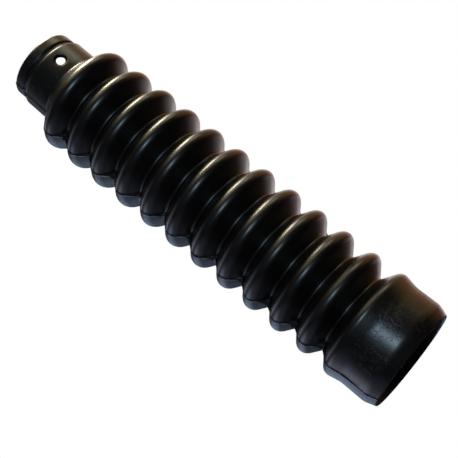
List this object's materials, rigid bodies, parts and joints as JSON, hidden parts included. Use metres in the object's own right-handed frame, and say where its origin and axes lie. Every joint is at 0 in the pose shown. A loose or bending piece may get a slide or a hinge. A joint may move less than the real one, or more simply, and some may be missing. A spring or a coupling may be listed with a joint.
{
  "type": "fork gaiter",
  "caption": "Rubber bellows for a motorbike fork: deep round folds between a wide lower cuff and a narrow vented upper cuff, open from end to end.",
  "frame": {"origin": "centre of the end face of the large cuff, which the gaiter stands on", "axes": "+Z along the gaiter's axis from the large cuff to the small cuff; the vent hole faces -Y and the mould's parting lines run down the +X and -X sides, in a plane turned about 8 degrees from the X axis, anticlockwise seen from +Z"},
  "size_m": [0.0608, 0.0608, 0.2499],
  "materials": {
    "rubber": "satin black moulded rubber, glossier over the folds, with a fine parting line down each side"
  },
  "bodies": {
    "root": {"gaiter": "rubber"}
  },
  "joints": []
}
